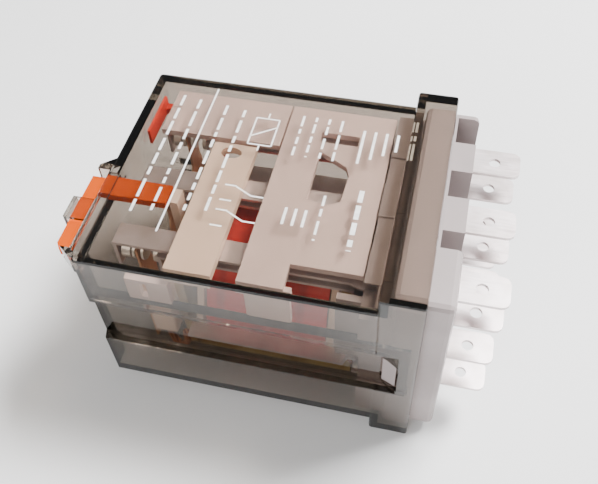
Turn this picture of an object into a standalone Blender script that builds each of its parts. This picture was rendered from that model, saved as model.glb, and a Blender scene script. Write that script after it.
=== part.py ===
"""Plug-in relay with three change-over contacts, lying on one wide side.

+X points to the terminal blades, +Z is the outward normal of the marked wide face, and -Y is
the narrow side with the open end of the test lever. The origin is under the middle of the
bounding box. Sizes below are in millimetres.
"""
from math import cos, pi, sin

import bmesh
import bpy
from mathutils import Matrix, Vector

MM = 0.001

# Driving dimensions
BODY_LENGTH = 48.0
WIDTH = 38.2
SKIRT_DEPTH = 36.0
SKIRT_FLARE = 3.0
SKIRT_LENGTH = 6.0
WALL = 1.3
GAP = 0.3
CHANNEL_DEPTH = 1.4
CHANNEL_HALF = 5.0
RIB_END = -1.2
LUG_LOW = 14.0
LUG_HIGH = 19.9

BASE_STANDOFF = 3.5
BASE_INNER = 8.4
BLADE_TIP = 10.15
STRAP_END = -51.85
BLADE_WIDTH = 4.8
BLADE_THICK = 0.5
BLADE_HOLE_RADIUS = 0.85
BLADE_HOLE_X = 6.5
BLADE_CORNER = 1.1
POLE_PITCH = 11.3
ROW_NC = 30.8
ROW_NO = 25.15
ROW_COM = 16.35
ROW_COIL = 8.3

COIL_Y = -3.4
COIL_Z = 16.5
FLANGE_RADIUS = 9.9
TAPE_RADIUS = 9.5
WINDING_RADIUS = 8.9
BOBBIN_RADIUS = 5.2
CORE_RADIUS = 4.0
TENON_RADIUS = 2.7
POLE_SHOE_RADIUS = 6.5
COIL_LEFT = -33.0
COIL_RIGHT = -12.1

PIVOT_X = -35.2
PIVOT_Z = 5.5
CONTACT_Z = 26.5
CONTACT_RADIUS = 1.6
NC_UPRIGHT_X = -44.0
SPRING_X = -41.0
NO_UPRIGHT_X = -37.5
NC_STRIP_Z = 29.1
NO_STRIP_Z = 27.7
COM_END = -34.2
SPRING_WIRE_RADIUS = 0.10
DECK_BOTTOM = 30.0
DECK_TOP = 31.0

HALF_WIDTH = WIDTH / 2
BODY_BOTTOM = SKIRT_FLARE
BODY_TOP = SKIRT_DEPTH - SKIRT_FLARE
MIDDLE_Z = SKIRT_DEPTH / 2
INNER_HALF = HALF_WIDTH - WALL
RIB_HALF = INNER_HALF - CHANNEL_DEPTH
POLES = (POLE_PITCH, 0.0, -POLE_PITCH)

parts = bpy.data.collections.new("plug_in_relay")


def clear_scene():
    for item in list(bpy.data.objects):
        bpy.data.objects.remove(item)
    bpy.context.scene.collection.children.link(parts)


def material(name, colour, roughness, metallic=0.0, alpha=1.0):
    mat = bpy.data.materials.new(name)
    mat.use_nodes = True
    shader = mat.node_tree.nodes["Principled BSDF"]
    shader.inputs["Base Color"].default_value = (*colour, 1.0)
    shader.inputs["Roughness"].default_value = roughness
    shader.inputs["Metallic"].default_value = metallic
    shader.inputs["Alpha"].default_value = alpha
    return mat


def add_mesh(name, mesh, location=(0, 0, 0)):
    obj = bpy.data.objects.new(name, mesh)
    obj.location = Vector(location) * MM
    parts.objects.link(obj)
    return obj


def box(name, x_span, y_span, z_span, bevel=0.0):
    """A box between two values on each axis, with its edges rounded by bevel."""
    spans = (x_span, y_span, z_span)
    size = [(high - low) * MM for low, high in spans]
    centre = [(high + low) / 2 for low, high in spans]
    shape = bmesh.new()
    bmesh.ops.create_cube(shape, size=1.0)
    bmesh.ops.scale(shape, vec=size, verts=shape.verts)
    mesh = bpy.data.meshes.new(name)
    shape.to_mesh(mesh)
    shape.free()
    obj = add_mesh(name, mesh, centre)
    if bevel:
        modifier = obj.modifiers.new("rounded edges", "BEVEL")
        modifier.width = bevel * MM
        modifier.segments = 2
    return obj


def freeze(obj):
    """Replace a curve by the mesh it evaluates to, its caps welded."""
    evaluated = obj.evaluated_get(bpy.context.evaluated_depsgraph_get())
    mesh = bpy.data.meshes.new_from_object(evaluated)
    shape = bmesh.new()
    shape.from_mesh(mesh)
    bmesh.ops.remove_doubles(shape, verts=shape.verts, dist=0.001 * MM)
    bmesh.ops.recalc_face_normals(shape, faces=shape.faces)
    shape.to_mesh(mesh)
    shape.free()
    name = obj.name
    matrix = obj.matrix_world.copy()
    bpy.data.objects.remove(obj)
    solid = bpy.data.objects.new(name, mesh)
    solid.matrix_world = matrix
    parts.objects.link(solid)
    return solid


PLANE_TURNS = {
    "XY": Matrix.Identity(4),
    "XZ": Matrix.Rotation(pi / 2, 4, "X"),
    "YZ": Matrix.Rotation(pi / 2, 4, "Z") @ Matrix.Rotation(pi / 2, 4, "X"),
}


def prism(name, plane, loops, low, high):
    """Closed outlines in one plane, the first the rim and the others holes, raised low to high."""
    curve = bpy.data.curves.new(name, "CURVE")
    curve.dimensions = "2D"
    curve.fill_mode = "BOTH"
    curve.extrude = (high - low) / 2 * MM
    for loop in loops:
        spline = curve.splines.new("POLY")
        spline.points.add(len(loop) - 1)
        for point, (first, second) in zip(spline.points, loop):
            point.co = (first * MM, second * MM, 0, 1)
        spline.use_cyclic_u = True
    obj = bpy.data.objects.new(name, curve)
    middle = (low + high) / 2 * MM
    offset = {"XY": (0, 0, middle), "XZ": (0, middle, 0), "YZ": (middle, 0, 0)}[plane]
    obj.matrix_world = Matrix.Translation(offset) @ PLANE_TURNS[plane]
    parts.objects.link(obj)
    bpy.context.view_layer.update()
    return freeze(obj)


def circle(centre, radius, steps=16):
    """Points around a circle in a prism's plane."""
    turns = (2 * pi * step / steps for step in range(steps))
    return [(centre[0] + radius * cos(a), centre[1] + radius * sin(a)) for a in turns]


def ribbon(path, thickness):
    """The outline of a strip seen edge-on: a path widened to a thickness, with mitred bends."""
    sides = []
    for index, point in enumerate(path):
        here = Vector(point)
        before = Vector(path[index - 1]) if index else None
        after = Vector(path[index + 1]) if index + 1 < len(path) else None
        runs = [(here - before).normalized()] if before else []
        runs += [(after - here).normalized()] if after else []
        across = sum((Vector((-run.y, run.x)) for run in runs), Vector((0, 0))).normalized()
        first_across = Vector((-runs[0].y, runs[0].x))
        reach = thickness / 2 / across.dot(first_across)
        sides.append((here + across * reach, here - across * reach))
    upper = [side[0] for side in sides]
    lower = [side[1] for side in reversed(sides)]
    return [tuple(point) for point in upper + lower]


def combine(target, tool, operation="UNION"):
    """Join a tool shape to the target, or cut or intersect it, and keep only the target."""
    modifier = target.modifiers.new(operation.lower(), "BOOLEAN")
    modifier.operation = operation
    modifier.object = tool
    bpy.context.view_layer.update()
    evaluated = target.evaluated_get(bpy.context.evaluated_depsgraph_get())
    mesh = bpy.data.meshes.new_from_object(evaluated)
    target.modifiers.clear()
    target.data = mesh
    bpy.data.objects.remove(tool)
    return target


def cut(target, tool):
    return combine(target, tool, "DIFFERENCE")


def turned(name, profile, centre_y, centre_z, steps=32):
    """A solid of revolution about a line along X, from (x, radius) points.

    A profile that starts on the line also ends on it; any other is a closed loop, for a tube.
    """
    mesh = bpy.data.meshes.new(name)
    points = [(radius * MM, 0, x * MM) for x, radius in profile]
    edges = [(index, index + 1) for index in range(len(points) - 1)]
    if profile[0][1] > 0:
        edges.append((len(points) - 1, 0))
    mesh.from_pydata(points, edges, [])
    obj = bpy.data.objects.new(name, mesh)
    obj.rotation_euler = (0, pi / 2, 0)
    obj.location = (0, centre_y * MM, centre_z * MM)
    parts.objects.link(obj)
    screw = obj.modifiers.new("turn", "SCREW")
    screw.axis = "Z"
    screw.steps = steps
    screw.render_steps = steps
    screw.use_merge_vertices = True
    screw.merge_threshold = 0.01 * MM
    screw.use_normal_calculate = True
    bpy.context.view_layer.update()
    return freeze(obj)


def wire(name, points, radius, resolution=2):
    """A round wire along a list of points."""
    curve = bpy.data.curves.new(name, "CURVE")
    curve.dimensions = "3D"
    curve.bevel_depth = radius * MM
    curve.bevel_resolution = resolution
    curve.use_fill_caps = True
    spline = curve.splines.new("POLY")
    spline.points.add(len(points) - 1)
    for point, place in zip(spline.points, points):
        point.co = (*(Vector(place) * MM), 1)
    obj = bpy.data.objects.new(name, curve)
    parts.objects.link(obj)
    bpy.context.view_layer.update()
    return freeze(obj)


def smooth_path(points, steps=4):
    """Points along a smooth curve through the given ones."""
    places = [Vector(point) for point in points]
    padded = [2 * places[0] - places[1], *places, 2 * places[-1] - places[-2]]
    path = []
    for index in range(1, len(padded) - 2):
        p0, p1, p2, p3 = padded[index - 1:index + 3]
        for step in range(steps):
            t = step / steps
            linear = (p2 - p0) * t
            square = (2 * p0 - 5 * p1 + 4 * p2 - p3) * t * t
            cube = (3 * p1 - p0 - 3 * p2 + p3) * t ** 3
            path.append(p1 + (linear + square + cube) / 2)
    return path + [places[-1]]


def finish(obj, mat, smooth=False):
    obj.data.materials.clear()
    obj.data.materials.append(mat)
    if smooth:
        obj.data.shade_smooth()
        obj.data.set_sharp_from_angle(angle=pi / 5)
    return obj


# Cover: a clear box with a skirt flared on the two wide sides

def hollow(name, x_span, z_span):
    """Cutter for the inside, waisted so that each side channel keeps a wall behind it."""
    rib_half = CHANNEL_HALF + WALL
    space = box(name, x_span, (-INNER_HALF, INNER_HALF), z_span)
    for side in (-1, 1):
        edge = sorted((RIB_HALF * side, (HALF_WIDTH + 1) * side))
        height = (MIDDLE_Z - rib_half, MIDDLE_Z + rib_half)
        cut(space, box("rib", (-BODY_LENGTH, RIB_END), edge, height))
    return space


def side_channel(name, side):
    """Cutter for the long groove of a narrow side, which runs out in a ramp on the skirt."""
    face = HALF_WIDTH * side
    floor = (HALF_WIDTH - CHANNEL_DEPTH) * side
    clear = (HALF_WIDTH + 1) * side
    outline = [(-BODY_LENGTH - 1, floor), (-4.8, floor), (-2.6, face), (-2.6, clear),
               (-BODY_LENGTH - 1, clear)]
    return prism(name, "XY", [outline], MIDDLE_Z - CHANNEL_HALF, MIDDLE_Z + CHANNEL_HALF)


def lever_turret():
    """Raised guard with sloped ends around the slot of the test lever."""
    end = -BODY_LENGTH
    top = end - 2.1
    outline = [(end + 1, -18.1), (end, -18.1), (top, -16.5), (top, -1.6), (end, 0.1), (end + 1, 0.1)]
    return prism("turret", "XY", [outline], 28.6, 32.5)


def make_cover():
    cover = box("cover", (-BODY_LENGTH, -SKIRT_LENGTH + 0.5), (-HALF_WIDTH, HALF_WIDTH),
                (BODY_BOTTOM, BODY_TOP), bevel=0.5)
    skirt_half = HALF_WIDTH + 0.05
    skirt = box("skirt", (-SKIRT_LENGTH, 0), (-skirt_half, skirt_half), (0, SKIRT_DEPTH), bevel=0.4)
    combine(cover, skirt)
    shoulder = [(-BODY_LENGTH - 0.1, -14.6), (-46.8, -HALF_WIDTH - 0.2),
                (-BODY_LENGTH - 0.1, -HALF_WIDTH - 0.2)]
    cut(cover, prism("shoulder_cut", "XY", [shoulder], BODY_BOTTOM - 1, BODY_TOP + 1))
    combine(cover, lever_turret())
    cut(cover, box("lever_recess", (-53.0, -BODY_LENGTH - 0.2), (-16.8, -2.4), (29.4, 34.0)))
    strap_inner = STRAP_END + 0.45
    strap = [(STRAP_END, 28.8), (strap_inner, 28.8), (strap_inner, 31.35), (-47.0, 31.35), (-47.0, 31.8),
             (STRAP_END, 31.8)]
    combine(cover, prism("strap", "XZ", [strap], -11.4, -7.6))
    cut(cover, hollow("body_hollow", (-BODY_LENGTH + WALL, 0.5), (BODY_BOTTOM + WALL, BODY_TOP - WALL)))
    cut(cover, hollow("skirt_hollow", (-SKIRT_LENGTH + WALL, 1.0), (WALL, SKIRT_DEPTH - WALL)))
    cut(cover, box("lever_slot", (-51.0, -46.0), (-16.8, -2.4), (29.4, 31.35)))
    for side in (-1, 1):
        cut(cover, side_channel("channel", side))
        depth = sorted(((RIB_HALF - 0.5) * side, (HALF_WIDTH + 0.5) * side))
        cut(cover, box("latch_window", (-4.8 - GAP, -2.8 + GAP), depth, (LUG_LOW - GAP, LUG_HIGH + GAP)))
    return cover


# Base: the moulding that holds the blades

def blade_slot(row_y, row_z):
    reach = BLADE_WIDTH / 2 + 0.2
    thick = BLADE_THICK / 2 + 0.2
    return box("blade_slot", (-BASE_INNER - 1, BASE_STANDOFF + 1), (row_y - reach, row_y + reach),
               (row_z - thick, row_z + thick))


def make_base():
    plate_half = INNER_HALF - GAP
    waist = RIB_HALF - 0.4
    base = box("base", (-4.4, BASE_STANDOFF), (-plate_half, plate_half), (1.7, SKIRT_DEPTH - 1.7),
               bevel=0.8)
    tower = box("tower", (-BASE_INNER, -4.0), (-17.4, 17.4), (BODY_BOTTOM + 1.7, BODY_TOP - 1.7))
    combine(base, tower)
    combine(base, box("wing", (-11.8, -BASE_INNER + 0.5), (-15.9, -14.9), (17.2, 29.5)))
    for side in (-1, 1):
        edge = sorted((waist * side, (HALF_WIDTH + 1) * side))
        cut(base, box("waist", (-12, RIB_END + GAP), edge, (11.4, 24.6)))
        root = (waist - 0.3) * side
        lug = [(-4.8, root), (-2.8, root), (-2.8, 18.5 * side), (-4.8, 17.7 * side)]
        combine(base, prism("latch_lug", "XY", [lug], LUG_LOW, LUG_HIGH))
    for pocket_low, pocket_high in ((13.9, 16.3), (3.1, 8.1), (-8.2, -3.1)):
        cut(base, box("pocket", (0.4, BASE_STANDOFF + 1), (pocket_low, pocket_high), (11.0, 40)))
    cut(base, box("step", (0.4, BASE_STANDOFF + 1), (-4.0, 14.5), (31.6, 40)))
    cut(base, box("front_notch", (-BASE_INNER - 1, -6.5), (-18, -12.6), (29.8, 40)))
    for pole in POLES:
        cut(base, box("strip_pocket", (-BASE_INNER - 1, -4.6), (pole - 2.6, pole + 2.6), (28.5, 40)))
        for row in (ROW_NC, ROW_NO, ROW_COM):
            cut(base, blade_slot(pole, row))
    for pole in (POLES[0], POLES[-1]):
        cut(base, blade_slot(pole, ROW_COIL))
    return base


# Terminals: blades outside, bent strips inside

def blade_outline(centre, inner):
    """Plan view of a terminal: the blade's rounded tip, then the points of its inner strip."""
    half = BLADE_WIDTH / 2
    corners = []
    for side, turn in ((-1, -pi / 2), (1, 0.0)):
        for step in range(4):
            angle = turn + pi / 2 * step / 3
            corners.append((BLADE_TIP - BLADE_CORNER + BLADE_CORNER * cos(angle),
                            centre + side * (half - BLADE_CORNER) + BLADE_CORNER * sin(angle)))
    return corners + inner


def terminal(name, centre, side_path, inner):
    """A bent strip in side view, trimmed to its plan outline and with the blade's hole."""
    strip = prism(name, "XZ", [ribbon(side_path, BLADE_THICK)], -HALF_WIDTH, HALF_WIDTH)
    plan = [blade_outline(centre, inner), circle((BLADE_HOLE_X, centre), BLADE_HOLE_RADIUS)]
    return combine(strip, prism("plan", "XY", plan, 0, SKIRT_DEPTH), "INTERSECT")


def narrowing(centre, start, end, width):
    """Inner strip that narrows from the blade's width to its own, centred on the blade."""
    half = BLADE_WIDTH / 2
    slim = width / 2
    return [(start, centre + half), (start - 1.5, centre + slim), (end, centre + slim),
            (end, centre - slim), (start - 1.5, centre - slim), (start, centre - half)]


def make_nc_terminal(number, centre):
    path = [(BLADE_TIP, ROW_NC), (-5.0, ROW_NC), (-6.8, NC_STRIP_Z), (NC_UPRIGHT_X, NC_STRIP_Z),
            (NC_UPRIGHT_X, 24.3)]
    inner = narrowing(centre, -BASE_INNER - 0.6, NC_UPRIGHT_X - 1, 3.6)
    return terminal(f"nc_terminal_{number}", centre, path, inner)


def make_no_terminal(number, centre):
    path = [(BLADE_TIP, ROW_NO), (-4.0, ROW_NO), (-BASE_INNER - 0.6, ROW_NO),
            (-BASE_INNER - 1.6, NO_STRIP_Z), (NO_UPRIGHT_X, NO_STRIP_Z), (NO_UPRIGHT_X, 24.3)]
    inner = narrowing(centre, -BASE_INNER - 0.6, NO_UPRIGHT_X - 1, 4.0)
    return terminal(f"no_terminal_{number}", centre, path, inner)


# The common strips pass the coil on its sides: two on the rear side, one on the front.

def make_com_terminal_1():
    end = COM_END
    half = BLADE_WIDTH / 2
    centre = POLES[0]
    inner = [(end, centre + half), (end, centre - half)]
    return terminal("com_terminal_1", centre, [(BLADE_TIP, ROW_COM), (end, ROW_COM)], inner)


def make_com_terminal_2():
    end = COM_END
    raised = 20.5
    path = [(BLADE_TIP, ROW_COM), (-BASE_INNER - 0.5, ROW_COM), (-BASE_INNER - 1.0, raised), (end, raised)]
    centre = POLES[1]
    half = BLADE_WIDTH / 2
    inner = [(-8.7, half), (-8.7, 8.4), (-9.5, 8.4), (-9.5, 12.4), (end, 12.4), (end, 7.0),
             (-9.7, 7.0), (-9.7, -half)]
    return terminal("com_terminal_2", centre, path, inner)


def make_com_terminal_3():
    end = COM_END
    lowered = 14.2
    path = [(BLADE_TIP, ROW_COM), (-10.1, ROW_COM), (-10.9, lowered), (end, lowered)]
    centre = POLES[2]
    half = BLADE_WIDTH / 2
    inner = [(-9.9, centre + half), (-9.9, -13.5), (end, -13.5), (end, -16.0), (-8.8, -16.0),
             (-BASE_INNER - 0.2, centre - half)]
    return terminal("com_terminal_3", centre, path, inner)


def make_coil_terminal(number, centre):
    end = -9.7
    half = BLADE_WIDTH / 2
    inner = [(end, centre + half), (end, centre - half)]
    path = [(BLADE_TIP, ROW_COIL), (end, ROW_COIL)]
    return terminal(f"coil_terminal_{number}", centre, path, inner)


# Contacts

def disc(name, low, high, centre_y, centre_z, radius, segments=20):
    """A short round piece along X."""
    shape = bmesh.new()
    bmesh.ops.create_cone(shape, cap_ends=True, segments=segments, radius1=radius * MM,
                          radius2=radius * MM, depth=(high - low) * MM)
    bmesh.ops.rotate(shape, cent=(0, 0, 0), matrix=Matrix.Rotation(pi / 2, 3, "Y"), verts=shape.verts)
    mesh = bpy.data.meshes.new(name)
    shape.to_mesh(mesh)
    shape.free()
    return add_mesh(name, mesh, ((low + high) / 2, centre_y, centre_z))


def make_fixed_contacts(number, centre):
    """One contact on each fixed upright, facing the moving contact between them."""
    nc = disc(f"nc_contact_{number}", NC_UPRIGHT_X + 0.55, NC_UPRIGHT_X + 1.85, centre, CONTACT_Z,
              CONTACT_RADIUS)
    no = disc(f"no_contact_{number}", NO_UPRIGHT_X - 1.15, NO_UPRIGHT_X - 0.55, centre, CONTACT_Z,
              CONTACT_RADIUS)
    return nc, no


def make_moving_contact(number, centre):
    """A double-headed contact whose shank passes through its spring."""
    outer = 0.85
    inner = 0.45
    shank = 0.7
    x = SPRING_X
    profile = [(x - outer, 0), (x - outer, CONTACT_RADIUS), (x - inner, CONTACT_RADIUS),
               (x - inner, shank), (x + inner, shank), (x + inner, CONTACT_RADIUS),
               (x + outer, CONTACT_RADIUS), (x + outer, 0)]
    return turned(f"moving_contact_{number}", profile, centre, CONTACT_Z, steps=20)


def make_moving_spring(number, centre):
    outline = [(centre - 2.2, 8.0), (centre + 2.2, 8.0), (centre + 2.2, 20.0),
               (centre + 1.7, 21.5), (centre + 1.7, 28.0), (centre - 1.7, 28.0),
               (centre - 1.7, 21.5), (centre - 2.2, 20.0)]
    hole = circle((centre, CONTACT_Z), 1.0)
    return prism(f"moving_spring_{number}", "YZ", [outline, hole], SPRING_X - 0.15, SPRING_X + 0.15)


# Magnet system

def make_bobbin():
    wall = 1.0
    profile = [(COIL_LEFT, CORE_RADIUS + GAP), (COIL_LEFT, FLANGE_RADIUS),
               (COIL_LEFT + wall, FLANGE_RADIUS), (COIL_LEFT + wall, BOBBIN_RADIUS),
               (COIL_RIGHT - GAP - wall, BOBBIN_RADIUS), (COIL_RIGHT - GAP - wall, FLANGE_RADIUS),
               (COIL_RIGHT - GAP, FLANGE_RADIUS), (COIL_RIGHT - GAP, CORE_RADIUS + GAP)]
    return turned("coil_bobbin", profile, COIL_Y, COIL_Z, steps=40)


def make_sleeve(name, inner, outer):
    """A hollow round piece between the bobbin's flanges."""
    low = COIL_LEFT + 1.0 + GAP
    high = COIL_RIGHT - 1.0 - 2 * GAP
    profile = [(low, inner), (low, outer), (high, outer), (high, inner)]
    return turned(name, profile, COIL_Y, COIL_Z, steps=40)


def make_core():
    """Round core with a wide pole shoe at the armature and a tenon through the yoke."""
    shoe = COIL_LEFT - GAP
    profile = [(shoe - 0.6, 0), (shoe - 0.6, POLE_SHOE_RADIUS), (shoe, POLE_SHOE_RADIUS),
               (shoe, CORE_RADIUS), (COIL_RIGHT, CORE_RADIUS), (COIL_RIGHT, TENON_RADIUS),
               (-10.1, TENON_RADIUS), (-10.1, 0)]
    return turned("core", profile, COIL_Y, COIL_Z, steps=28)


def make_yoke():
    """L-shaped iron: a plate under the coil and a leg that holds the core."""
    thick = 1.6
    half = 8.5
    bottom = BODY_BOTTOM + WALL + 0.4
    leg_low = COIL_RIGHT + GAP
    outline = [(PIVOT_X + 0.3, bottom), (leg_low + thick, bottom), (leg_low + thick, 26.0),
               (leg_low, 26.0), (leg_low, bottom + thick), (PIVOT_X + 0.3, bottom + thick)]
    yoke = prism("yoke", "XZ", [outline], COIL_Y - half, COIL_Y + half)
    cut(yoke, disc("tenon_hole", leg_low - 1, leg_low + thick + 1, COIL_Y, COIL_Z,
                   TENON_RADIUS + GAP, segments=28))
    return yoke


def make_return_spring():
    """Helix that still has room between its turns when the armature is fully closed."""
    turns = 2.5
    steps = 12
    low = PIVOT_X + 0.45
    length = COIL_LEFT - 0.35 - low
    count = int(turns * steps)
    points = []
    for index in range(count + 1):
        angle = 2 * pi * index / steps
        points.append((low + length * index / count, COIL_Y + 1.0 * cos(angle), 24.9 + 1.0 * sin(angle)))
    return wire("return_spring", points, SPRING_WIRE_RADIUS)


def make_armature():
    half = 8.5
    return box("armature", (PIVOT_X - 1.4, PIVOT_X), (COIL_Y - half, COIL_Y + half), (4.9, 26.8))


def make_carrier():
    """Insulating bar that ties the armature, the three springs and the push tab together."""
    back = PIVOT_X - 1.4 - GAP
    carrier = box("contact_carrier", (SPRING_X + 0.5, back), (-14.2, 15.6), (11.0, 17.5), bevel=0.3)
    return combine(carrier, box("push_tab", (back - 1.2, back), (-5.7, -3.1), (16.5, 30.8)))


def make_flag():
    """Indicator on an arm that reaches from the carrier to the end wall."""
    arm = [(-46.35, 27.9), (-37.3, 27.9), (-37.3, 29.1), (-45.95, 29.1), (-45.95, 30.6), (-46.35, 30.6)]
    flag = prism("flag", "XZ", [arm], 14.4, 15.6)
    combine(flag, box("post", (-38.5, -37.3), (14.4, 15.6), (17.8, 28.5)))
    return combine(flag, box("face", (-46.35, -45.95), (7.5, 15.0), (27.9, 30.6)))


def make_lever():
    """Flat test lever: a head along the end wall and a stem that reaches the push tab."""
    outline = [(-51.1, -2.8), (-51.1, -15.4), (-50.4, -16.4), (-48.6, -16.4), (-48.6, -6.2),
               (-38.5, -6.2), (-38.5, -2.8)]
    return prism("test_lever", "XY", [outline], 29.8, 31.0)


# Wires

def make_pigtail(number, start_y, start_z, end_y):
    """Flexible braid from a common strip, under the carrier, to the foot of a moving spring."""
    side = 1 if start_y > COIL_Y else -1
    drop = COM_END - 0.85
    points = [(drop, start_y, start_z), (drop, start_y + 0.2 * side, (start_z + 10) / 2),
              (drop - 0.3, start_y, 10.0), (-36.4, start_y, 8.8), (-38.2, (start_y * 2 + end_y) / 3, 8.5),
              (SPRING_X + 0.9, end_y, 8.5)]
    return wire(f"pigtail_{number}", smooth_path(points), 0.55)


def make_coil_lead(number, points):
    return wire(f"coil_lead_{number}", smooth_path(points), 0.25)


# Plastic pieces over the coil

def make_deck():
    """Insulating plate over the strips, with windows and one leg down the front side."""
    left = -25.0
    right = -BASE_INNER - GAP
    rim = [(left, -16.9), (right, -16.9), (right, 16.9), (left, 16.9)]
    rear_slot = [(-19.5, 10.1), (-13.7, 10.1), (-13.7, 12.1), (-19.5, 12.1)]
    window = [(-19.0, -1.4), (-16.0, -2.0), (-14.2, -1.0), (-13.9, 4.0), (-14.6, 5.7), (-19.0, 8.1)]
    deck = prism("contact_deck", "XY", [rim, rear_slot, window], DECK_BOTTOM, DECK_TOP)
    cut(deck, box("front_window", (-18.6, right + 1), (-18, -12.8), (DECK_BOTTOM - 1, DECK_TOP + 1)))
    return combine(deck, box("leg", (-23.8, -17.6), (-16.9, -16.1), (24.8, DECK_BOTTOM + 0.5)))


def make_bridge():
    """Insulating block across the strips at the armature end."""
    rim = [(-35.1, -16.9), (-28.5, -16.9), (-28.5, 7.0), (-35.1, 7.0)]
    dip = [(-32.0 + 1.6 * cos(2 * pi * step / 16), 5.2 + 1.1 * sin(2 * pi * step / 16)) for step in range(16)]
    return prism("insulating_bridge", "XY", [rim, dip], 29.7, DECK_TOP)


def make_side_rail():
    return box("side_rail", (-44.1, -25.3), (8.0, 16.9), (DECK_BOTTOM, DECK_TOP))


def make_end_clip():
    """Slotted clip in the front corner by the contacts."""
    rim = [(-40.6, 24.8), (-34.4, 24.8), (-34.4, 29.4), (-40.6, 29.4)]
    slot = [(-38.7, 25.6), (-37.6, 25.6), (-37.6, 28.8), (-38.7, 28.8)]
    return prism("end_clip", "XZ", [rim, slot], -17.4, -16.5)


def make_axis(name, x, y, z):
    """Empty that marks a joint and carries its pieces."""
    axis = bpy.data.objects.new(name, None)
    axis.location = (x * MM, y * MM, z * MM)
    parts.objects.link(axis)
    bpy.context.view_layer.update()
    return axis


def hang(piece, axis):
    """Parent a piece to a joint's empty without moving it."""
    piece.parent = axis
    piece.matrix_parent_inverse = axis.matrix_world.inverted()


def centre_on_origin():
    """Slide the whole relay along X so that the origin lies under the middle of its box."""
    shift = -(STRAP_END + BLADE_TIP) / 2 * MM
    for item in parts.objects:
        if item.parent is None:
            item.location.x += shift


def build():
    clear_scene()
    smoke = material("smoked_clear", (0.28, 0.26, 0.24), 0.12, alpha=0.35)
    grey = material("pale_grey_plastic", (0.62, 0.58, 0.57), 0.5)
    cream = material("cream_plastic", (0.72, 0.58, 0.48), 0.5)
    tin = material("tinned_metal", (0.72, 0.66, 0.63), 0.32, 1.0)
    copper = material("copper", (0.72, 0.38, 0.24), 0.35, 1.0)
    silver = material("silver_contact", (0.86, 0.83, 0.78), 0.28, 1.0)
    iron = material("plated_iron", (0.55, 0.45, 0.28), 0.4, 1.0)
    red_tape = material("red_tape", (0.50, 0.09, 0.07), 0.45)
    orange = material("orange_plastic", (0.95, 0.24, 0.03), 0.4)
    flag_red = material("red_plastic", (0.85, 0.10, 0.05), 0.45)

    finish(make_cover(), smoke)
    finish(make_base(), grey)
    finish(make_deck(), grey)
    finish(make_side_rail(), grey)
    finish(make_end_clip(), grey)
    finish(make_bridge(), cream)
    finish(make_bobbin(), cream, smooth=True)
    finish(make_sleeve("coil_winding", BOBBIN_RADIUS + GAP, WINDING_RADIUS), copper, smooth=True)
    finish(make_sleeve("coil_tape", WINDING_RADIUS + GAP, TAPE_RADIUS), red_tape, smooth=True)
    finish(make_core(), iron, smooth=True)
    finish(make_yoke(), iron)
    finish(make_return_spring(), silver, smooth=True)
    finish(make_com_terminal_1(), tin)
    finish(make_com_terminal_2(), tin)
    finish(make_com_terminal_3(), tin)
    for number, centre in ((1, POLES[0]), (2, POLES[-1])):
        finish(make_coil_terminal(number, centre), tin)
    rear_lead = [(-9.9, 11.3, 9.0), (-10.1, 10.8, 10.6), (-11.6, 8.9, 12.4), (-12.7, 7.6, 14.0)]
    front_lead = [(-9.9, -12.7, 9.0), (-10.1, -12.8, 9.8), (-11.6, -12.8, 10.6), (-12.7, -12.8, 11.2)]
    finish(make_coil_lead(1, rear_lead), copper, smooth=True)
    finish(make_coil_lead(2, front_lead), copper, smooth=True)
    finish(make_pigtail(1, 10.8, 15.4, 10.8), copper, smooth=True)
    finish(make_pigtail(2, 8.6, 19.6, 0.5), copper, smooth=True)
    finish(make_pigtail(3, -14.8, 13.2, -11.3), copper, smooth=True)

    armature_axis = make_axis("armature_axis", PIVOT_X, COIL_Y, PIVOT_Z)
    lever_axis = make_axis("lever_axis", -38.5, -4.5, 30.4)
    hang(finish(make_armature(), iron), armature_axis)
    hang(finish(make_carrier(), cream), armature_axis)
    hang(finish(make_flag(), flag_red), armature_axis)
    hang(finish(make_lever(), orange), lever_axis)
    for number, centre in enumerate(POLES, start=1):
        finish(make_nc_terminal(number, centre), tin)
        finish(make_no_terminal(number, centre), tin)
        for contact in make_fixed_contacts(number, centre):
            finish(contact, silver, smooth=True)
        hang(finish(make_moving_spring(number, centre), copper), armature_axis)
        hang(finish(make_moving_contact(number, centre), silver, smooth=True), armature_axis)
    centre_on_origin()


build()
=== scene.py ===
"""Looks for the plug-in relay: smoky clear cover, plated blades, printed marks and soft light.

The frame's +X points to the blades and +Z out of the printed wide face. Lengths are in metres.
"""

import random
from math import atan2, cos, pi, radians, sin

import bmesh
import bpy
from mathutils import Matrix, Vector


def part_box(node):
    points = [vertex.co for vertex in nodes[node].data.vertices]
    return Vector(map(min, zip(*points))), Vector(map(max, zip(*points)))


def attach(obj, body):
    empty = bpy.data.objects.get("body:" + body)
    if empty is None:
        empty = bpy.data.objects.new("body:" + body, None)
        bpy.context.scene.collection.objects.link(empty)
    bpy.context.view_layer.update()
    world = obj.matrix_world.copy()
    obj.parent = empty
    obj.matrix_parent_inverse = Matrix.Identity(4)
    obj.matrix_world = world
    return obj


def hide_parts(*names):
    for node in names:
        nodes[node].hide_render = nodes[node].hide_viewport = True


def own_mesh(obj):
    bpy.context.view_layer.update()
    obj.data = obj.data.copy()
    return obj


MM = 0.001
WELD = 0.001 * MM

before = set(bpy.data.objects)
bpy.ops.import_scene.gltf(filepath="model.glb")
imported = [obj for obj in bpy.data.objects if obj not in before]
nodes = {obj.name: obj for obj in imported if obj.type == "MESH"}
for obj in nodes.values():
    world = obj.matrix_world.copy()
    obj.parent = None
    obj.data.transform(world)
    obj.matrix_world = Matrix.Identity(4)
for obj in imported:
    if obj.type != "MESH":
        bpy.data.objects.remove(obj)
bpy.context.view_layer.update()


def corners(node):
    """The lowest and highest corners of a CAD node."""
    low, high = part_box(node)
    return Vector(low), Vector(high)


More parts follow.
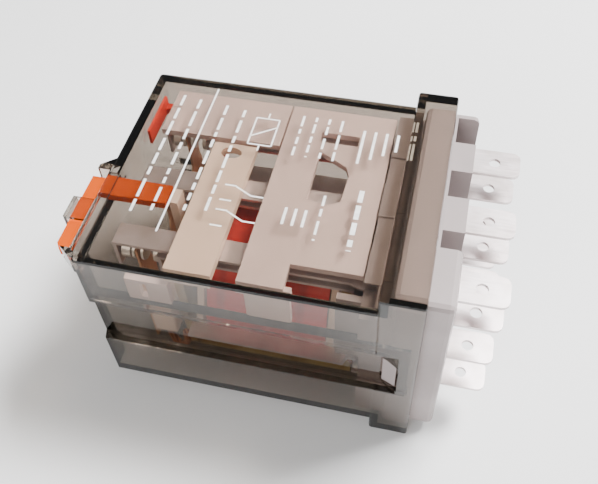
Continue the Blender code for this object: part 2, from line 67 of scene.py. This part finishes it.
COVER_HIGH = corners("cover")[1]
SKIRT_END = COVER_HIGH.x
SKIRT_STEP = 3 * MM
FACE_Z = COVER_HIGH.z - SKIRT_STEP
POLES = (1, 2, 3)


def at(x, y, z):
    """A point given in millimetres from the skirt's open end, the middle and the lower face."""
    return Vector((SKIRT_END + x * MM, y * MM, z * MM))


# Piece helpers

def add_object(name, data, location=(0, 0, 0)):
    obj = bpy.data.objects.new(name, data)
    obj.location = location
    bpy.context.scene.collection.objects.link(obj)
    return obj


def add_mesh(name, shape, material, location=(0, 0, 0)):
    """Turn a finished bmesh into an object with one material."""
    mesh = bpy.data.meshes.new(name)
    shape.to_mesh(mesh)
    shape.free()
    mesh.materials.append(material)
    return add_object(name, mesh, location)


def add_to_housing(name, shape, material, location=(0, 0, 0)):
    """A piece that stays with the cover and the base."""
    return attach(add_mesh(name, shape, material, location), "housing")


# Node helpers

def new_material(name):
    mat = bpy.data.materials.new(name)
    mat.use_nodes = True
    return mat, mat.node_tree, mat.node_tree.nodes["Principled BSDF"]


def noise(tree, scale, detail=3.0, stretch=(1, 1, 1)):
    """Noise in the piece's own metres, so scale is in features a metre."""
    coords = tree.nodes.new("ShaderNodeTexCoord")
    mapping = tree.nodes.new("ShaderNodeMapping")
    mapping.inputs["Scale"].default_value = stretch
    texture = tree.nodes.new("ShaderNodeTexNoise")
    texture.inputs["Scale"].default_value = scale
    texture.inputs["Detail"].default_value = detail
    tree.links.new(coords.outputs["Object"], mapping.inputs["Vector"])
    tree.links.new(mapping.outputs["Vector"], texture.inputs["Vector"])
    return texture.outputs["Fac"]


def bands(tree, scale, direction, distortion=0.0):
    """Even ridges across one axis."""
    coords = tree.nodes.new("ShaderNodeTexCoord")
    wave = tree.nodes.new("ShaderNodeTexWave")
    wave.bands_direction = direction
    wave.inputs["Scale"].default_value = scale
    wave.inputs["Distortion"].default_value = distortion
    tree.links.new(coords.outputs["Object"], wave.inputs["Vector"])
    return wave.outputs["Fac"]


def spread(tree, factor, low, high, start=0.3, end=0.7):
    """Turn a factor into numbers from low to high."""
    convert = tree.nodes.new("ShaderNodeMapRange")
    convert.inputs["From Min"].default_value = start
    convert.inputs["From Max"].default_value = end
    convert.inputs["To Min"].default_value = low
    convert.inputs["To Max"].default_value = high
    tree.links.new(factor, convert.inputs["Value"])
    return convert.outputs["Result"]


def blend_colours(tree, factor, first, second):
    """Mix two colours; each is an RGB triple or another node's output."""
    mix = tree.nodes.new("ShaderNodeMix")
    mix.data_type = "RGBA"
    tree.links.new(factor, mix.inputs["Factor"])
    for socket, colour in ((mix.inputs[6], first), (mix.inputs[7], second)):
        if isinstance(colour, tuple):
            socket.default_value = (*colour, 1.0)
        else:
            tree.links.new(colour, socket)
    return mix.outputs[2]


def roughen(tree, shader, height, strength, distance):
    """Feed a height into the shader's normal."""
    bump = tree.nodes.new("ShaderNodeBump")
    bump.inputs["Strength"].default_value = strength
    bump.inputs["Distance"].default_value = distance
    tree.links.new(height, bump.inputs["Height"])
    tree.links.new(bump.outputs["Normal"], shader.inputs["Normal"])


# Materials

def smoky_clear():
    """Tinted polycarbonate that darkens with the length of wall that light passes along."""
    mat, tree, shader = new_material("smoky_clear")
    shader.inputs["Base Color"].default_value = (0.66, 0.615, 0.58, 1)
    shader.inputs["Transmission Weight"].default_value = 1.0
    shader.inputs["IOR"].default_value = 1.5
    handled = noise(tree, 90, 5)
    tree.links.new(spread(tree, handled, 0.015, 0.07), shader.inputs["Roughness"])
    roughen(tree, shader, noise(tree, 160, 2), 0.12, 0.12 * MM)
    pass_light = tree.nodes.new("ShaderNodeBsdfTransparent")
    pass_light.inputs["Color"].default_value = (0.72, 0.70, 0.68, 1)
    path = tree.nodes.new("ShaderNodeLightPath")
    choose = tree.nodes.new("ShaderNodeMixShader")
    tree.links.new(path.outputs["Is Shadow Ray"], choose.inputs["Fac"])
    tree.links.new(shader.outputs["BSDF"], choose.inputs[1])
    tree.links.new(pass_light.outputs["BSDF"], choose.inputs[2])
    output = tree.nodes["Material Output"]
    tree.links.new(choose.outputs["Shader"], output.inputs["Surface"])
    smoke = tree.nodes.new("ShaderNodeVolumeAbsorption")
    smoke.inputs["Color"].default_value = (0.52, 0.48, 0.42, 1)
    smoke.inputs["Density"].default_value = 430
    tree.links.new(smoke.outputs["Volume"], output.inputs["Volume"])
    return mat


def moulded(name, colour, shade, rough=0.45, gloss=0.5):
    """Injection-moulded plastic: faint flow clouds, small specks and a fine spark-eroded grain."""
    mat, tree, shader = new_material(name)
    clouds = noise(tree, 140, 4)
    specks = noise(tree, 2600, 2)
    tone = blend_colours(tree, spread(tree, clouds, 0, 1), colour, shade)
    speckled = blend_colours(tree, spread(tree, specks, 0, 0.35, 0.55, 0.8), tone, shade)
    tree.links.new(speckled, shader.inputs["Base Color"])
    tree.links.new(spread(tree, clouds, rough - 0.08, rough + 0.1), shader.inputs["Roughness"])
    shader.inputs["Specular IOR Level"].default_value = gloss
    roughen(tree, shader, noise(tree, 5200, 2), 0.25, 0.03 * MM)
    return mat


def plated(name, colour, tarnish, rough=0.3, along="X"):
    """Dull plated strip: faint drawing lines along its length, cloudy tarnish and small pits."""
    mat, tree, shader = new_material(name)
    lengthwise = {"X": (0.04, 1, 1), "Z": (1, 1, 0.04)}[along]
    lines = noise(tree, 9000, 2, lengthwise)
    clouds = noise(tree, 260, 4)
    pits = noise(tree, 1900, 2)
    tone = blend_colours(tree, spread(tree, clouds, 0, 1, 0.38, 0.72), colour, tarnish)
    spotted = blend_colours(tree, spread(tree, pits, 0, 0.6, 0.66, 0.8), tone, tarnish)
    tree.links.new(spotted, shader.inputs["Base Color"])
    shader.inputs["Metallic"].default_value = 0.7
    tree.links.new(spread(tree, lines, rough - 0.04, rough + 0.08), shader.inputs["Roughness"])
    roughen(tree, shader, lines, 0.15, 0.006 * MM)
    return mat


def wound_copper():
    """Turns of fine enamelled wire; the dark stripes are painted shade in the grooves between turns."""
    mat, tree, shader = new_material("wound_copper")
    turns = bands(tree, 1100, "X")
    # painted shade: the dark colour is laid in the grooves between turns, the bright one is the copper
    # itself
    tone = blend_colours(tree, turns, (0.20, 0.05, 0.02), (0.75, 0.30, 0.14))
    tree.links.new(tone, shader.inputs["Base Color"])
    shader.inputs["Metallic"].default_value = 0.8
    tree.links.new(spread(tree, noise(tree, 300), 0.25, 0.4), shader.inputs["Roughness"])
    roughen(tree, shader, turns, 0.8, 0.08 * MM)
    return mat


def red_wrap():
    """Overlapped turns of polyester tape, slightly wrinkled."""
    mat, tree, shader = new_material("red_wrap")
    wrinkles = noise(tree, 420, 4, (0.35, 1, 1))
    laps = bands(tree, 52, "X", 1.2)
    tone = blend_colours(tree, spread(tree, wrinkles, 0, 1), (0.78, 0.040, 0.022), (0.62, 0.028, 0.017))
    lapped = blend_colours(tree, spread(tree, laps, 0, 0.5, 0.8, 1.0), tone, (0.28, 0.02, 0.02))
    tree.links.new(lapped, shader.inputs["Base Color"])
    tree.links.new(spread(tree, wrinkles, 0.38, 0.55), shader.inputs["Roughness"])
    roughen(tree, shader, wrinkles, 0.5, 0.12 * MM)
    return mat


def braid():
    """Bare copper braid: crossing strands, with painted shade in the dark stripes between them."""
    mat, tree, shader = new_material("copper_braid")
    strands = bands(tree, 900, "DIAGONAL")
    # painted shade: the dark colour is laid in the gaps between strands, the bright one is the copper
    # itself
    tone = blend_colours(tree, strands, (0.28, 0.09, 0.04), (0.82, 0.40, 0.22))
    tree.links.new(tone, shader.inputs["Base Color"])
    shader.inputs["Metallic"].default_value = 1.0
    tree.links.new(spread(tree, noise(tree, 800), 0.3, 0.5), shader.inputs["Roughness"])
    roughen(tree, shader, strands, 0.9, 0.1 * MM)
    return mat


def printed_ink():
    """Pad-printed white ink, thin enough to look a little uneven."""
    mat, tree, shader = new_material("printed_ink")
    uneven = noise(tree, 1500, 4)
    tone = blend_colours(tree, spread(tree, uneven, 0, 1), (0.92, 0.92, 0.90), (0.72, 0.72, 0.70))
    tree.links.new(tone, shader.inputs["Base Color"])
    tree.links.new(spread(tree, uneven, 0.5, 0.7), shader.inputs["Roughness"])
    roughen(tree, shader, uneven, 0.2, 0.01 * MM)
    return mat


def studio_floor():
    """Plain pale surface, only faintly uneven in tone."""
    mat, tree, shader = new_material("studio_floor")
    clouds = noise(tree, 6, 3)
    tone = blend_colours(tree, spread(tree, clouds, 0, 1), (0.93, 0.93, 0.93), (0.90, 0.90, 0.90))
    tree.links.new(tone, shader.inputs["Base Color"])
    shader.inputs["Roughness"].default_value = 0.9
    return mat


EASED = ("base", "contact_deck", "side_rail", "end_clip", "insulating_bridge", "contact_carrier",
         "flag", "test_lever", "yoke", "armature")
EDGE_RADIUS = 0.09 * MM
EASED_ABOVE_DEGREES = 50


def ease_edges(item):
    """Break the sharp edges of a piece by a hair, as moulding and tumbling do."""
    bevel = item.modifiers.new("eased_edges", "BEVEL")
    bevel.width = EDGE_RADIUS
    bevel.segments = 2
    bevel.limit_method = "ANGLE"
    bevel.angle_limit = radians(EASED_ABOVE_DEGREES)
    bevel.use_clamp_overlap = True


def dress_nodes():
    """Give every CAD node its finished material, and ease the edges of the moulded and cut ones."""
    grey = moulded("pale_grey_plastic", (0.76, 0.61, 0.59), (0.68, 0.55, 0.53))
    base_grey = moulded("base_plastic", (0.34, 0.285, 0.28), (0.29, 0.245, 0.24))
    cream = moulded("cream_plastic", (0.92, 0.74, 0.62), (0.84, 0.66, 0.54), 0.5)
    tin = plated("tinned_brass", (0.80, 0.72, 0.72), (0.62, 0.54, 0.52), 0.34)
    iron = plated("plated_iron", (0.62, 0.47, 0.22), (0.42, 0.26, 0.12), 0.38)
    silver = plated("silver_contact", (0.90, 0.87, 0.82), (0.62, 0.58, 0.52), 0.34, "Z")
    bronze = plated("spring_bronze", (0.78, 0.45, 0.26), (0.55, 0.28, 0.16), 0.3, "Z")
    orange = moulded("orange_plastic", (0.58, 0.080, 0.0), (0.50, 0.065, 0.0), 0.6, 0.05)
    red = moulded("red_plastic", (0.80, 0.05, 0.02), (0.62, 0.035, 0.015), 0.5, 0.2)
    looks = {
        "cover": smoky_clear(), "base": base_grey,
        "contact_deck": grey, "side_rail": grey, "end_clip": grey,
        "insulating_bridge": cream, "coil_bobbin": cream, "contact_carrier": cream,
        "coil_winding": wound_copper(), "coil_tape": red_wrap(), "core": iron, "yoke": iron,
        "armature": iron, "return_spring": silver, "flag": red, "test_lever": orange,
    }
    woven = braid()
    by_stem = {"pigtail": woven, "coil_lead": woven, "moving_spring": bronze}
    for name, item in nodes.items():
        stem = name.rstrip("0123456789").rstrip("_")
        is_terminal = stem.endswith("terminal")
        if name in looks:
            chosen = looks[name]
        elif is_terminal:
            chosen = tin
        else:
            chosen = by_stem.get(stem, silver)
        item.data.materials.clear()
        item.data.materials.append(chosen)
        if name in EASED or is_terminal:
            ease_edges(item)


# Printing. Places and sizes are in millimetres: x from the skirt's open end, y from the middle.

INK_GAP = 0.006 * MM
INK_THICKNESS = 0.02 * MM
DASH_LENGTHS = (0.9, 3.4)
DASH_SPACES = (0.5, 0.9)

SIGN_LINE = 0.24
COIL_BOX = (3.6, 5.6)
COIL_SLASH_RISE = 1.2
COIL_LEAD = 1.2
CONTACT_REACH = 3.0
CONTACT_HINGE = 1.2
CONTACT_TIP = 1.3
CONTACT_SPREAD = 1.4

RULE_X = -37.4
RULE_ENDS = (17.0, -12.2)
RULE_WIDTH = 0.28

RATING_COLUMNS = (-42.2, -39.4, -34.9, -31.9)
RATING_ENDS = (14.6, -9.5)
RATING_SHIFTS = (-0.5, 0.7)
RATING_HEIGHT = 0.42

SMALL_COLUMNS = (-22.6, -20.6, -18.6, -16.6)
SMALL_ENDS = (13.6, 5.2)
SMALL_HEIGHT = 0.36
SKIRT_ROW = (-5.4, 14.0, 5.8)
LOWER_ROW = (-16.2, -1.5, -9.5)
BOLD_ROW = (-11.3, 0.4, -10.3)
BOLD_HEIGHT = 0.7

COIL_SIGN = (-27.9, 9.1)
CONTACT_SIGNS = ((-27.6, -3.6), (-27.6, -8.2))

LONG_BAR_START = (-13.0, 12.2)
LONG_BAR_FOOT = 5.4
LONG_BAR_STEP = (1.7, 1.1)
SHORT_BAR_START = (-21.0, -4.6)
SHORT_BAR_FOOT = -7.6
SHORT_BAR_STEP = 1.4
BAR_WIDTH = 0.4


class Marks:
    """Flat ink strokes on the wide face, gathered into one mesh."""

    def __init__(self, name):
        self.name = name
        self.shape = bmesh.new()

    def stroke(self, start, end, width):
        """A straight stroke with square ends."""
        first = Vector((*start, 0))
        second = Vector((*end, 0))
        along = second - first
        middle = (first + second) / 2
        lower = FACE_Z + INK_GAP
        upper = lower + INK_THICKNESS
        angle = atan2(along.y, along.x)
        for vert in bmesh.ops.create_cube(self.shape, size=1.0)["verts"]:
            x = vert.co.x * along.length
            y = vert.co.y * width
            turned = Vector((x * cos(angle) - y * sin(angle), x * sin(angle) + y * cos(angle), 0))
            spot = middle + turned
            vert.co = (SKIRT_END + spot.x * MM, spot.y * MM, upper if vert.co.z > 0 else lower)

    def path(self, points, width):
        for start, end in zip(points, points[1:]):
            self.stroke(start, end, width)

    def frame(self, centre, size, width):
        """An outlined rectangle."""
        x, y = centre
        across, along = size[0] / 2, size[1] / 2
        outline = [(x - across, y - along), (x + across, y - along), (x + across, y + along),
                   (x - across, y + along), (x - across, y - along)]
        self.path(outline, width)

    def row(self, x, y_start, y_end, height, seed):
        """A row of short dashes along Y, like a line of small print seen from afar."""
        chance = random.Random(seed)
        y = y_start
        while y > y_end:
            stop = max(y - chance.uniform(*DASH_LENGTHS), y_end)
            self.stroke((x, y), (x, stop), height)
            y = stop - chance.uniform(*DASH_SPACES)

    def done(self, ink):
        add_to_housing(self.name, self.shape, ink)


def coil_symbol(marks, centre):
    """Drafting sign for a coil: a box with a slash and a lead at each end."""
    x, y = centre
    across, along = COIL_BOX[0] / 2, COIL_BOX[1] / 2
    marks.frame(centre, COIL_BOX, SIGN_LINE)
    marks.stroke((x - across, y - COIL_SLASH_RISE), (x + across, y + COIL_SLASH_RISE), SIGN_LINE)
    for side in (1, -1):
        marks.stroke((x, y + along * side), (x, y + (along + COIL_LEAD) * side), SIGN_LINE)


def change_over_symbol(marks, centre):
    """Drafting sign for a change-over contact: one arm between two fixed ends."""
    x, y = centre
    marks.stroke((x + CONTACT_REACH, y), (x + CONTACT_HINGE, y), SIGN_LINE)
    marks.stroke((x + CONTACT_HINGE, y), (x - CONTACT_TIP, y + CONTACT_TIP), SIGN_LINE)
    for side in (-1, 1):
        height = y + CONTACT_SPREAD * side
        marks.stroke((x - CONTACT_REACH, height), (x - CONTACT_TIP, height), SIGN_LINE)


def print_face(ink):
    """Generic printing: a rule, rows of dashes, two kinds of circuit sign and bars."""
    rule = Marks("print_rule")
    rule.stroke((RULE_X, RULE_ENDS[0]), (RULE_X, RULE_ENDS[1]), RULE_WIDTH)
    rule.done(ink)

    rating = Marks("print_rating_rows")
    for number, x in enumerate(RATING_COLUMNS):
        start, end = (place + shift * number for place, shift in zip(RATING_ENDS, RATING_SHIFTS))
        rating.row(x, start, end, RATING_HEIGHT, seed=10 + number)
    rating.done(ink)

    small = Marks("print_small_rows")
    for number, x in enumerate(SMALL_COLUMNS):
        small.row(x, *SMALL_ENDS, SMALL_HEIGHT, seed=30 + number)
    small.row(*SKIRT_ROW, SMALL_HEIGHT, seed=40)
    small.row(*LOWER_ROW, SMALL_HEIGHT, seed=41)
    small.done(ink)

    signs = Marks("print_circuit_signs")
    coil_symbol(signs, COIL_SIGN)
    for centre in CONTACT_SIGNS:
        change_over_symbol(signs, centre)
    signs.done(ink)

    bars = Marks("print_bars")
    for number in range(4):
        x = LONG_BAR_START[0] + LONG_BAR_STEP[0] * number
        bars.stroke((x, LONG_BAR_START[1]), (x, LONG_BAR_FOOT + LONG_BAR_STEP[1] * number), BAR_WIDTH)
    for number in range(3):
        x = SHORT_BAR_START[0] + SHORT_BAR_STEP * number
        bars.stroke((x, SHORT_BAR_START[1]), (x, SHORT_BAR_FOOT), BAR_WIDTH)
    bars.row(*BOLD_ROW, BOLD_HEIGHT, seed=50)
    bars.done(ink)


# Small fittings

STRIP_THICKNESS = 0.5 * MM
RIVET_RADIUS = 1.0 * MM
RIVET_HEIGHT = 0.2 * MM

SOLDER_RADIUS = 0.55 * MM
SOLDER_FLATTENING = 0.7
SOLDER_INSET = 0.6 * MM
SOLDER_EDGE = 0.7 * MM
SOLDER_LIFT = 0.1 * MM

SPRING_TURNS = 2.5
SPRING_STEPS_A_TURN = 24
SPRING_WIRE_RADIUS = 0.10 * MM

SKIN_SIZE = (4.2 * MM, 5.6 * MM, 0.14 * MM)
SKIN_EDGE = 0.05 * MM
SKIN_FROM_SKIRT_END = 6.4 * MM
BASE_STEP = 1.7 * MM

TAPE_LAYERS = (0.03 * MM, 0.10 * MM)
TAPE_MARGIN = 0.4 * MM
TAPE_START_DEGREES = 176
TAPE_TURN_DEGREES = 42
TAPE_STEPS = 12


def smooth(shape):
    for face in shape.faces:
        face.smooth = True


def rounded_button(name, centre, direction, material):
    """A shallow dome that stands on a face and bulges along X."""
    shape = bmesh.new()
    bmesh.ops.create_uvsphere(shape, u_segments=24, v_segments=12, radius=RIVET_RADIUS)
    for vert in shape.verts:
        bulge = max(vert.co.x * direction, 0.0) * RIVET_HEIGHT / RIVET_RADIUS
        vert.co.x = bulge * direction
    bmesh.ops.remove_doubles(shape, verts=shape.verts, dist=WELD)
    smooth(shape)
    add_to_housing(name, shape, material, centre)


def rivet_contacts(silver):
    """The riveted tail of each fixed contact, on the far face of its strip."""
    for number in POLES:
        for kind, direction in (("nc", -1), ("no", 1)):
            low, high = corners(f"{kind}_contact_{number}")
            middle = (low + high) / 2
            strip_x = corners(f"{kind}_terminal_{number}")[0].x
            face_x = strip_x if direction < 0 else strip_x + STRIP_THICKNESS
            centre = (face_x, middle.y, middle.z)
            rounded_button(f"{kind}_rivet_{number}", centre, direction, silver)


def solder_joints(solder):
    """A blob of solder where each coil lead meets its blade."""
    for number in (1, 2):
        low, high = corners(f"coil_terminal_{number}")
        lead_low, lead_high = corners(f"coil_lead_{number}")
        lead_y = (lead_low.y + lead_high.y) / 2
        spot_y = min(max(lead_y, low.y + SOLDER_EDGE), high.y - SOLDER_EDGE)
        shape = bmesh.new()
        bmesh.ops.create_uvsphere(shape, u_segments=20, v_segments=12, radius=SOLDER_RADIUS)
        for vert in shape.verts:
            vert.co.z *= SOLDER_FLATTENING
        smooth(shape)
        centre = (low.x + SOLDER_INSET, spot_y, high.z + SOLDER_LIFT)
        add_to_housing(f"solder_{number}", shape, solder, centre)


def helix_mesh(start, length, centre_y, centre_z, radius):
    """A round wire wound along X, as a closed mesh."""
    steps = int(SPRING_TURNS * SPRING_STEPS_A_TURN)
    curve = bpy.data.curves.new("spring_path", "CURVE")
    curve.dimensions = "3D"
    curve.bevel_depth = SPRING_WIRE_RADIUS
    curve.bevel_resolution = 3
    curve.use_fill_caps = True
    line = curve.splines.new("POLY")
    line.points.add(steps)
    for index, point in enumerate(line.points):
        angle = 2 * pi * SPRING_TURNS * index / steps
        x = start + length * index / steps
        point.co = (x, centre_y + radius * cos(angle), centre_z + radius * sin(angle), 1)
    path = add_object("spring_path", curve)
    mesh = bpy.data.meshes.new_from_object(path.evaluated_get(bpy.context.evaluated_depsgraph_get()))
    bpy.data.objects.remove(path)
    closed = bmesh.new()
    closed.from_mesh(mesh)
    bmesh.ops.remove_doubles(closed, verts=closed.verts, dist=WELD)
    closed.to_mesh(mesh)
    closed.free()
    return mesh


def compressing_spring(steel):
    """Return spring between the coil's end and the armature."""
    low, high = corners("return_spring")
    middle = (low + high) / 2
    start = low.x + SPRING_WIRE_RADIUS
    length = high.x - SPRING_WIRE_RADIUS - start
    coil_radius = (high.z - low.z) / 2 - SPRING_WIRE_RADIUS
    mesh = helix_mesh(start, length, middle.y, middle.z, coil_radius)
    mesh.materials.clear()
    mesh.materials.append(steel)
    obj = add_object("return_spring_coil", mesh)
    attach(obj, "housing")
    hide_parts("return_spring")
    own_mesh(obj)


def skin_over_strips(plastic):
    """The base's thin outer skin where it runs over each normally closed strip."""
    roof = FACE_Z - BASE_STEP
    for number in POLES:
        low, high = corners(f"nc_terminal_{number}")
        shape = bmesh.new()
        bmesh.ops.create_cube(shape, size=1.0)
        for vert in shape.verts:
            vert.co = Vector(part * size for part, size in zip(vert.co, SKIN_SIZE))
        bmesh.ops.bevel(shape, geom=shape.edges[:], offset=SKIN_EDGE, segments=2, affect="EDGES")
        centre = (SKIRT_END - SKIN_FROM_SKIRT_END, (low.y + high.y) / 2, roof + SKIN_SIZE[2])
        add_to_housing(f"base_skin_{number}", shape, plastic, centre)


def tape_end(wrap):
    """The loose end of the wrap: a strip that lies on the last turn."""
    low, high = corners("coil_tape")
    centre = (low + high) / 2
    radius = (high.z - low.z) / 2
    shape = bmesh.new()
    rows = []
    for layer in TAPE_LAYERS:
        reach = radius + layer
        for x in (low.x + TAPE_MARGIN, high.x - TAPE_MARGIN):
            ring = []
            for step in range(TAPE_STEPS + 1):
                angle = radians(TAPE_START_DEGREES + TAPE_TURN_DEGREES * step / TAPE_STEPS)
                spot = (x, centre.y + reach * cos(angle), centre.z + reach * sin(angle))
                ring.append(shape.verts.new(spot))
            rows.append(ring)
    inner_left, inner_right, outer_left, outer_right = rows
    for first, second in ((inner_left, inner_right), (outer_right, outer_left),
                          (inner_right, outer_right), (outer_left, inner_left)):
        for step in range(TAPE_STEPS):
            shape.faces.new((first[step], second[step], second[step + 1], first[step + 1]))
    for end in (0, TAPE_STEPS):
        shape.faces.new([row[end] for row in (inner_left, inner_right, outer_right, outer_left)])
    bmesh.ops.recalc_face_normals(shape, faces=shape.faces)
    add_to_housing("tape_end", shape, wrap)


# Stage. Lamps are placed in metres from the frame's origin, the camera as at() takes it.

FLOOR_HALF_SIZE = 2.5
FLOOR_DROP = 0.05 * MM
SKY_STRENGTH = 0.26

CAMERA_PLACE = (-1.0, -69.38, 114.31)
CAMERA_TURN_DEGREES = (39.66, 1.81, 12.97)
CAMERA_LENS = 46.13
CAMERA_SHIFT = (-0.0082, -0.0568)


def make_floor(mat):
    shape = bmesh.new()
    bmesh.ops.create_grid(shape, x_segments=8, y_segments=8, size=FLOOR_HALF_SIZE)
    add_mesh("floor", shape, mat, (0, 0, -FLOOR_DROP))


def area_light(name, location, target, size, power):
    """A rectangular lamp that faces target."""
    lamp = bpy.data.lights.new(name, "AREA")
    lamp.shape = "RECTANGLE"
    lamp.size, lamp.size_y = size
    lamp.energy = power
    obj = add_object(name, lamp, location)
    aim = Vector(target) - Vector(location)
    obj.rotation_euler = aim.to_track_quat("-Z", "Y").to_euler()


def light_studio():
    """A dim even sky, a key lamp high behind the blades' end and a weak lamp in front."""
    world = bpy.data.worlds.new("studio")
    world.use_nodes = True
    sky = world.node_tree.nodes["Background"]
    sky.inputs["Color"].default_value = (1.0, 1.0, 1.0, 1)
    sky.inputs["Strength"].default_value = SKY_STRENGTH
    bpy.context.scene.world = world
    area_light("key", (0.22, 0.19, 0.44), target=(0, 0, 0.02), size=(0.18, 0.18), power=9.0)
    area_light("front", (-0.10, -0.35, 0.22), target=(0, 0, 0.012), size=(0.25, 0.15), power=1.15)


def place_camera():
    """In front of and above the skirt, looking down at the printed face and the front side."""
    lens = bpy.data.cameras.new("camera")
    lens.lens = CAMERA_LENS
    lens.sensor_width = 36
    lens.shift_x, lens.shift_y = CAMERA_SHIFT
    lens.clip_start = 0.005
    camera = add_object("camera", lens, at(*CAMERA_PLACE))
    camera.rotation_euler = [radians(angle) for angle in CAMERA_TURN_DEGREES]
    bpy.context.scene.camera = camera


place_camera()
light_studio()
make_floor(studio_floor())
dress_nodes()
print_face(printed_ink())
compressing_spring(nodes["return_spring"].data.materials[0])
skin_over_strips(nodes["base"].data.materials[0])
rivet_contacts(nodes["nc_contact_1"].data.materials[0])
solder_joints(nodes["nc_contact_1"].data.materials[0])
tape_end(nodes["coil_tape"].data.materials[0])
